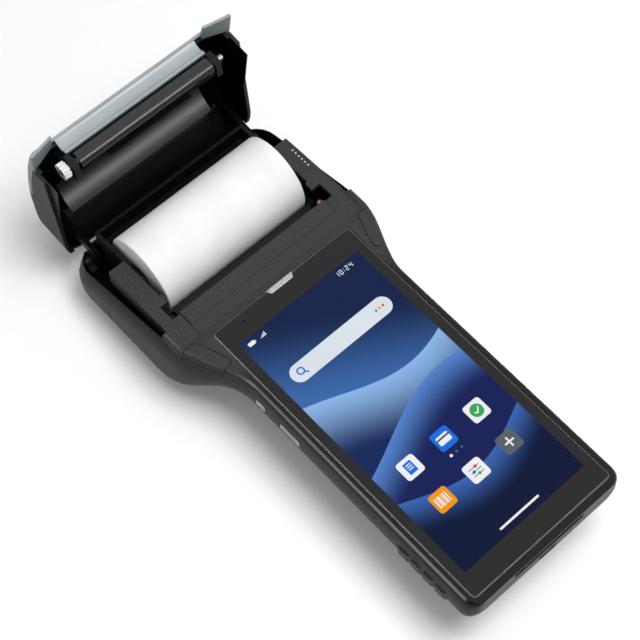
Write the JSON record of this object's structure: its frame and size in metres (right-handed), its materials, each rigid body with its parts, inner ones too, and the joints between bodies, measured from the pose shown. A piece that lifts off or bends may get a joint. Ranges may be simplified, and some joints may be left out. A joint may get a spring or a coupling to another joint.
{
  "type": "handheld payment terminal",
  "caption": "Handheld payment terminal: slim touch-screen handle with a belly printer head, hinged lid open over a paper roll, platen and tear bar.",
  "frame": {"origin": "centre line of the flat underside of the printer belly, 49.5 mm in front of its back end", "axes": "+X to the right seen from the handle, +Y from the handle to the printer, +Z out of the screen"},
  "size_m": [0.1152, 0.2693, 0.0938],
  "materials": {
    "case_black": "fine spark texture",
    "deck_black": "coarse spark texture",
    "grip_black": "satin",
    "bay_black": "satin",
    "lid_grey": "fine spark texture",
    "silver_trim": "satin silver paint",
    "cover_glass": "polished black glass",
    "display": "lit picture",
    "steel": "brushed",
    "light_alloy": "cast, matt",
    "chrome_key": "satin",
    "board_green": "solder mask",
    "battery_blue": null,
    "black_plastic": "satin",
    "paper": "smooth thermal paper",
    "core_card": "card",
    "platen_black": "ground rubber",
    "gear_white": "acetal",
    "brass": "turned",
    "copper_flex": "copper flex",
    "camera_black": "lens"
  },
  "bodies": {
    "housing": {"lower_case": "case_black", "upper_case": "deck_black", "battery_cover": "case_black", "battery_cells": "battery_blue", "battery_board": "board_green", "touch_glass": "cover_glass", "display_panel": "display", "display_frame": "light_alloy", "earpiece_grille": "chrome_key", "front_camera": "camera_black", "main_board": "board_green", "board_shield": "steel", "loudspeaker": "black_plastic", "charge_port": "steel", "side_grips": "grip_black", "case_screws": "steel", "cover_screws": "steel", "paper_bay": "bay_black", "bay_screws": "steel", "tear_bar": "black_plastic", "head_bracket": "steel", "printer_board": "board_green", "flex_cable": "copper_flex", "pogo_block": "black_plastic", "stepper_motor": "steel", "idler_pin": "steel", "hinge_pins": "steel", "head_pin": "steel"},
    "lid": {"lid_shell": "lid_grey", "lid_trim": "silver_trim", "lid_frame": "black_plastic", "lid_guide": "bay_black", "sensor_bar": "black_plastic", "platen_bushings": "black_plastic", "lid_screws": "steel"},
    "platen": {"platen_shaft": "steel", "platen_rubber": "platen_black", "platen_gear": "gear_white"},
    "paper": {"paper_roll": "paper", "roll_core": "core_card"},
    "head": {"print_head": "black_plastic", "head_heatsink": "light_alloy", "head_springs": "steel"},
    "idler": {"idler_gear": "gear_white"},
    "pinion": {"motor_pinion": "brass"},
    "pogo": {"pogo_pins": "brass"},
    "power_button": {"power_key": "chrome_key"},
    "volume_button": {"volume_key": "chrome_key"},
    "scan_button_left": {"scan_key_left": "deck_black"},
    "scan_button_right": {"scan_key_right": "deck_black"}
  },
  "joints": [
    {"name": "lid_hinge", "type": "hinge", "parent": "housing", "child": "lid", "pos_m": [0, 0.0455, 0.022], "axis": [1, 0, 0], "range_deg": [0, 82.4]},
    {"name": "platen_spin", "type": "hinge", "parent": "lid", "child": "platen", "pos_m": [0, 0.05734, 0.07846], "axis": [1, 0, 0], "continuous": true},
    {"name": "paper_spin", "type": "hinge", "parent": "housing", "child": "paper", "pos_m": [0, 0.0175, 0.0342], "axis": [1, 0, 0], "continuous": true},
    {"name": "head_pivot", "type": "hinge", "parent": "housing", "child": "head", "pos_m": [0, -0.01095, 0.03318], "axis": [1, 0, 0], "range_deg": [0, 3], "stiffness_Nm_per_rad": 2, "deforming": ["head_springs"]},
    {"name": "idler_spin", "type": "hinge", "parent": "housing", "child": "idler", "pos_m": [0, -0.01191, 0.03193], "axis": [1, 0, 0], "continuous": true},
    {"name": "pinion_spin", "type": "hinge", "parent": "housing", "child": "pinion", "pos_m": [0, -0.01879, 0.02574], "axis": [1, 0, 0], "continuous": true},
    {"name": "pogo_press", "type": "slide", "parent": "housing", "child": "pogo", "axis": [0, 0, -1], "range_m": [0, 0.0006], "stiffness_N_per_m": 400},
    {"name": "power_press", "type": "slide", "parent": "housing", "child": "power_button", "axis": [1, 0, 0], "range_m": [0, 0.0006], "stiffness_N_per_m": 600},
    {"name": "volume_press", "type": "slide", "parent": "housing", "child": "volume_button", "axis": [1, 0, 0], "range_m": [0, 0.0006], "stiffness_N_per_m": 600},
    {"name": "scan_press_left", "type": "slide", "parent": "housing", "child": "scan_button_left", "axis": [0, 0, -1], "range_m": [0, 0.0005], "stiffness_N_per_m": 600},
    {"name": "scan_press_right", "type": "slide", "parent": "housing", "child": "scan_button_right", "axis": [0, 0, -1], "range_m": [0, 0.0005], "stiffness_N_per_m": 600}
  ],
  "couplings": [
    {"joint": "pinion_spin", "follows": "idler_spin", "ratio": -2}
  ]
}
